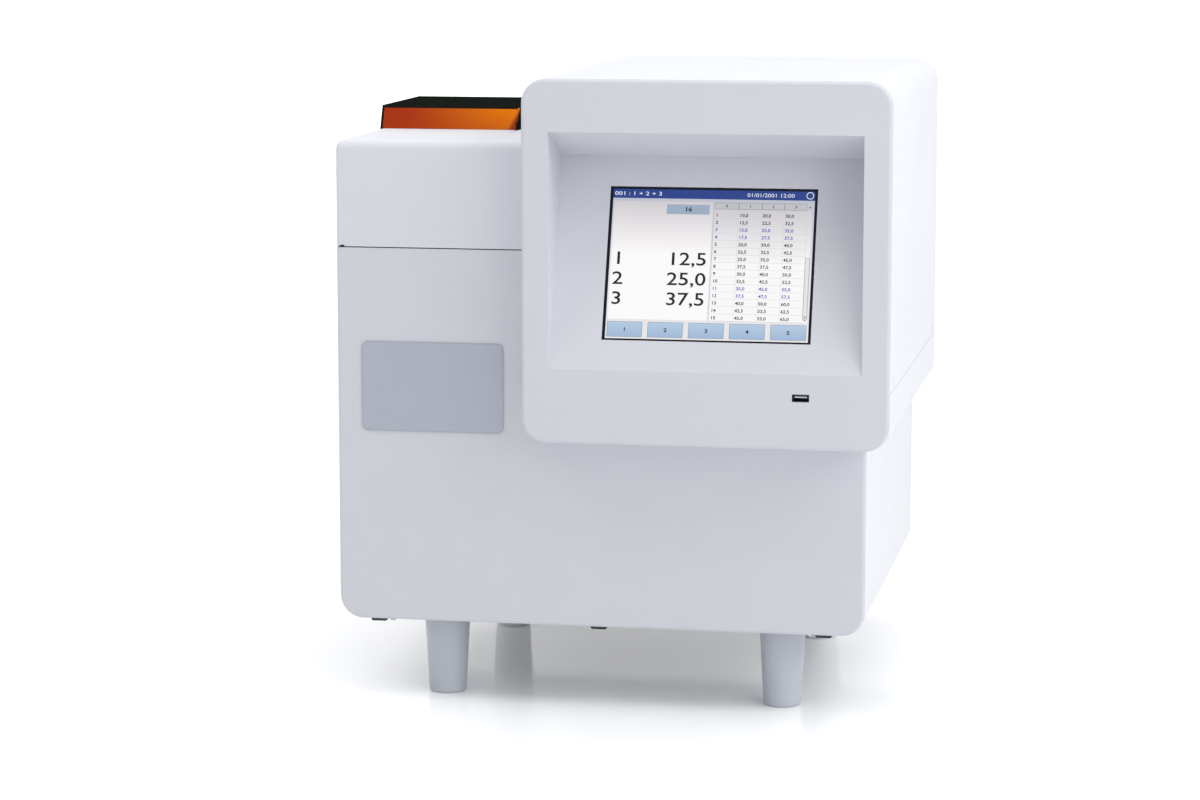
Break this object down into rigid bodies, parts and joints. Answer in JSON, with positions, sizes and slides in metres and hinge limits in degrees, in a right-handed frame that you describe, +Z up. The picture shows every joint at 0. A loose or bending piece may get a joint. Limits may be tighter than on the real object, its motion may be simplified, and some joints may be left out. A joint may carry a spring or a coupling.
{
  "type": "flame photometer",
  "caption": "Benchtop flame photometer on four tall feet: burner tower under a hinged lid with an orange flue window, and a touch-screen housing set in a notch.",
  "frame": {"origin": "on the floor under the middle of the box that the whole object fills", "axes": "+X to the right as seen from the front, +Y to the rear, +Z up; the front looks along -Y"},
  "size_m": [0.4806, 0.476, 0.534],
  "materials": {
    "white_paint": "satin powder coat, near white with a trace of blue",
    "front_moulding": "fine-grained moulding, pale cool grey",
    "zinc_sheet": "bright zinc plate, dull",
    "plated_steel": "nickel plate, satin",
    "stainless": "brushed stainless steel",
    "brass": "turned brass",
    "dark_plastic": "black moulded plastic",
    "foot_plastic": "grey-blue plastic, semi-gloss",
    "circuit_board": "green solder mask",
    "screen_glass": "glass-fronted touch panel, black when off",
    "plate_foil": "printed foil on aluminium, grey-blue",
    "shield_paint": "black semi-gloss enamel",
    "orange_window": "orange tinted, clear",
    "black_anodised": "black anodised, matt",
    "cast_aluminium": "machined aluminium",
    "optical_glass": "polished, coated",
    "filter_glass": "polished, orange-brown",
    "glazed_ceramic": "white glazed ceramic",
    "white_ptfe": "white fluoropolymer, waxy",
    "clear_tube": "milky flexible tube"
  },
  "bodies": {
    "chassis": {"base_plate": "zinc_sheet", "side_panel_left": "white_paint", "side_panel_right": "white_paint", "front_panel": "front_moulding", "rear_panel": "white_paint", "bulkhead": "zinc_sheet", "bay_deck": "zinc_sheet", "name_plate": "plate_foil", "front_clips": "dark_plastic", "clip_screws": "plated_steel", "foot_front_left": "foot_plastic", "foot_front_right": "foot_plastic", "foot_rear_left": "foot_plastic", "foot_rear_right": "foot_plastic", "foot_bolts": "plated_steel", "housing_tray": "white_paint", "housing_cover": "white_paint", "display_bezel": "front_moulding", "touch_panel": "screen_glass", "lcd_module": "plated_steel", "lcd_bracket": "zinc_sheet", "display_board": "circuit_board", "usb_socket": "plated_steel", "main_board": "circuit_board", "optics_stand": "zinc_sheet", "optics_block": "black_anodised", "optics_lens": "optical_glass", "beam_splitters": "optical_glass", "channel_filters": "filter_glass", "detectors": "plated_steel", "hearth_plate": "stainless", "chimney": "stainless", "burner_head": "brass", "mixing_chamber": "white_ptfe", "nebuliser": "stainless", "chamber_stand": "zinc_sheet", "sample_tube": "clear_tube", "igniter": "glazed_ceramic", "flame_sensor": "brass", "drain_pipe": "clear_tube", "gas_manifold": "cast_aluminium", "solenoid_valves": "dark_plastic", "air_regulator": "cast_aluminium", "power_supply": "plated_steel", "power_entry": "dark_plastic", "service_nipples": "brass", "fan_frame": "dark_plastic", "fan_guard": "plated_steel", "data_ports": "plated_steel", "lid_hinges": "plated_steel", "interlock_switch": "dark_plastic"},
    "lid": {"burner_lid": "white_paint", "flue_shield": "shield_paint", "shield_window": "orange_window", "flue_liner": "stainless", "lid_leaves": "plated_steel"},
    "rocker": {"rocker_switch": "dark_plastic"},
    "drawer": {"fuse_drawer": "dark_plastic"},
    "rotor": {"fan_rotor": "dark_plastic"},
    "plunger": {"interlock_plunger": "white_ptfe"}
  },
  "joints": [
    {"name": "lid_hinge", "type": "hinge", "parent": "chassis", "child": "lid", "pos_m": [0, 0.219, 0.3888], "axis": [-1, 0, 0], "range_deg": [0, 95]},
    {"name": "interlock_travel", "type": "slide", "parent": "chassis", "child": "plunger", "axis": [0, 0, 1], "range_m": [0, 0.0025]},
    {"name": "rocker_tip", "type": "hinge", "parent": "chassis", "child": "rocker", "pos_m": [0.15375, 0.215, 0.184], "axis": [-1, 0, 0], "range_deg": [0, 16]},
    {"name": "fuse_drawer_slide", "type": "slide", "parent": "chassis", "child": "drawer", "axis": [0, 1, 0], "range_m": [0, 0.02]},
    {"name": "fan_spin", "type": "hinge", "parent": "chassis", "child": "rotor", "pos_m": [0.16525, 0.1723, 0.444], "axis": [0, 1, 0], "continuous": true}
  ],
  "couplings": [
    {"joint": "interlock_travel", "follows": "lid_hinge", "m_per_rad": 0.0015078}
  ]
}
